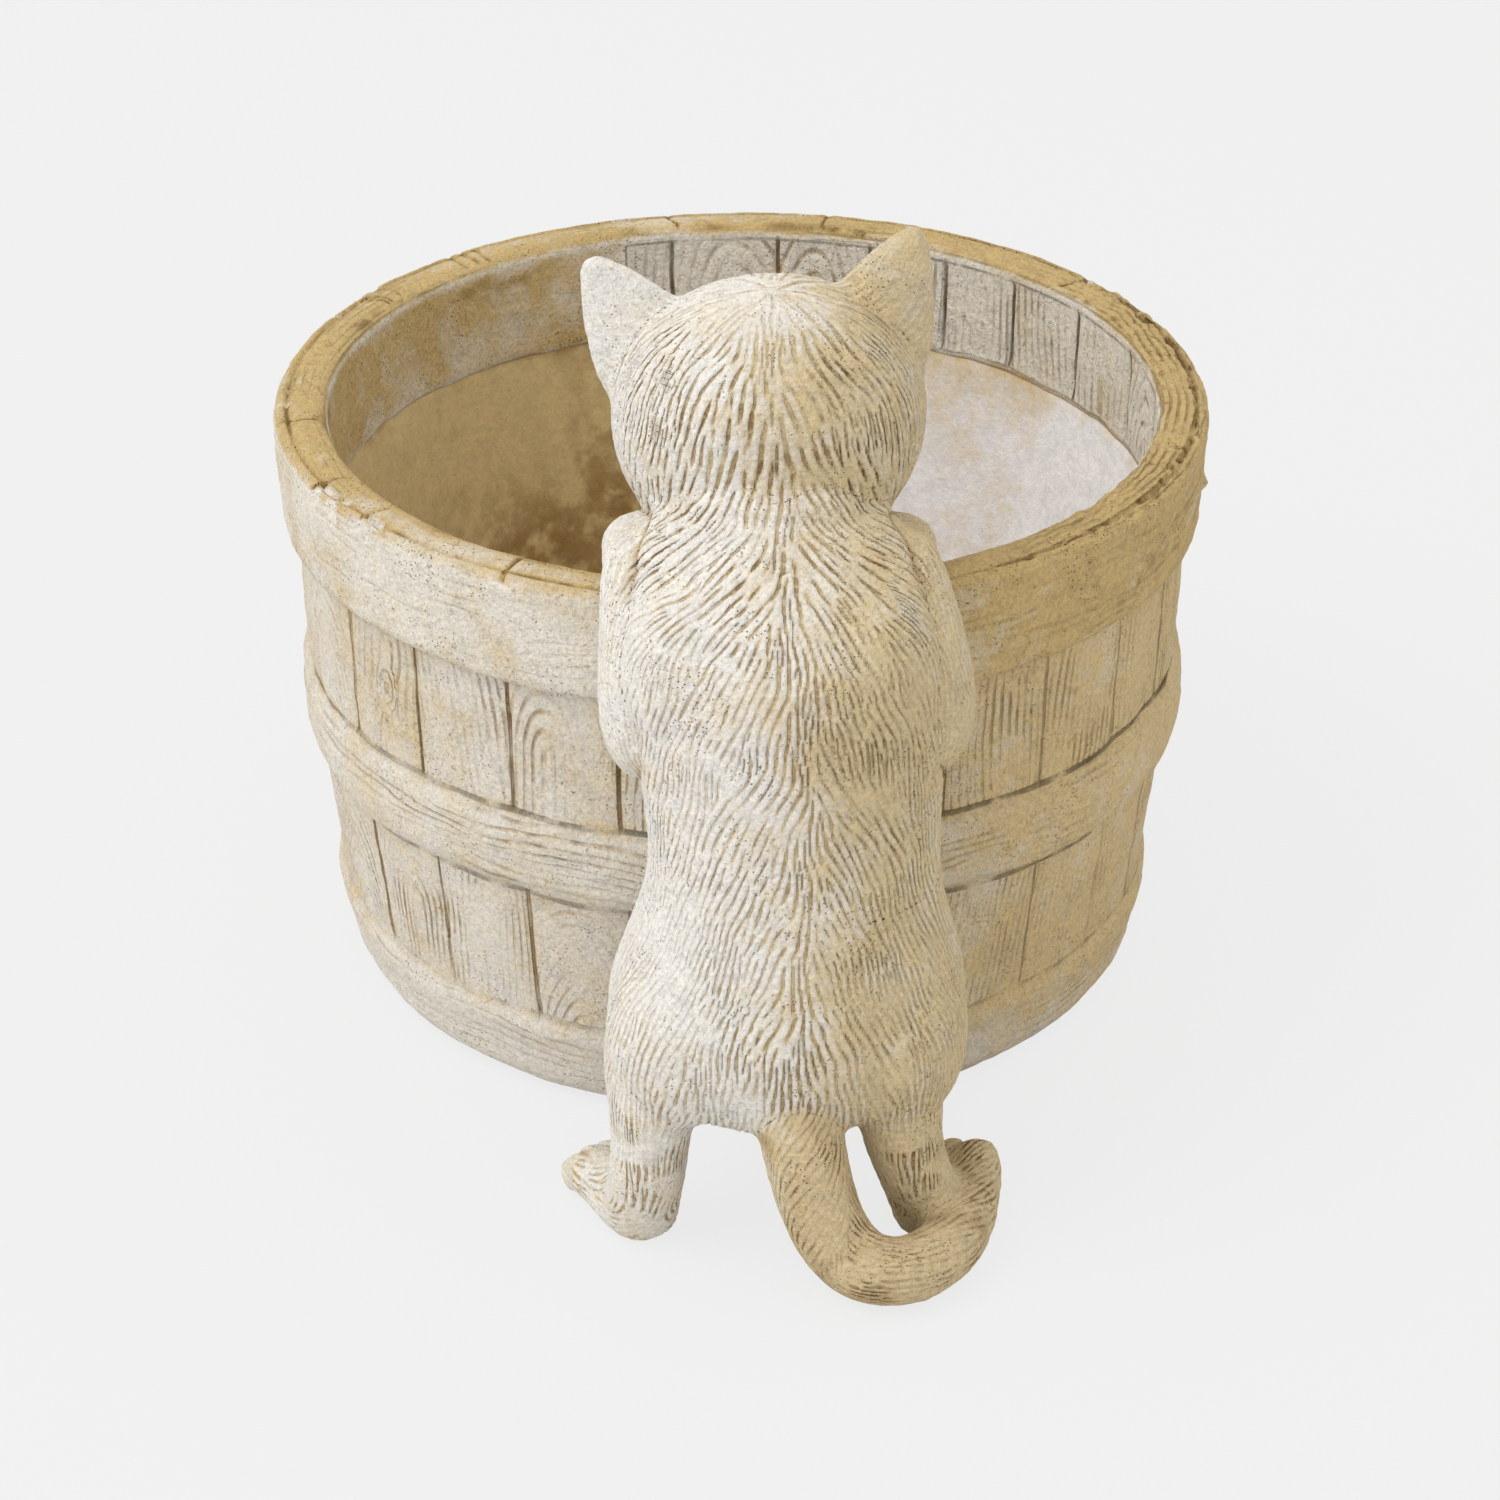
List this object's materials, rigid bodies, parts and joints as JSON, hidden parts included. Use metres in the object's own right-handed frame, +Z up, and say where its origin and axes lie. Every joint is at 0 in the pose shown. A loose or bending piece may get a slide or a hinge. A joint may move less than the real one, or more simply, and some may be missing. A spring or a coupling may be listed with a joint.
{
  "type": "flower pot",
  "caption": "Cast stone flower pot shaped as a coopered half barrel, with a kitten standing against its side, paws hooked over the rim, looking in.",
  "frame": {"origin": "middle of the drain hole, on the ground under the tub", "axes": "+Z up along the tub's axis, the kitten stands on the -Y side with its back to -Y, +X to the right of a viewer behind the kitten"},
  "size_m": [0.28, 0.3586, 0.2716],
  "materials": {
    "tub_stone": "matte",
    "kitten_stone": "matte",
    "mortar": "matte",
    "steel": "satin"
  },
  "bodies": {
    "root": {"tub": "tub_stone", "kitten_body": "kitten_stone", "kitten_head": "kitten_stone", "left_ear": "kitten_stone", "right_ear": "kitten_stone", "left_foreleg": "kitten_stone", "right_foreleg": "kitten_stone", "left_hind_leg": "kitten_stone", "right_hind_leg": "kitten_stone", "tail": "kitten_stone", "chest_mortar": "mortar", "paw_mortar": "mortar", "left_leg_rod": "steel", "right_leg_rod": "steel", "tail_wire": "steel"}
  },
  "joints": []
}
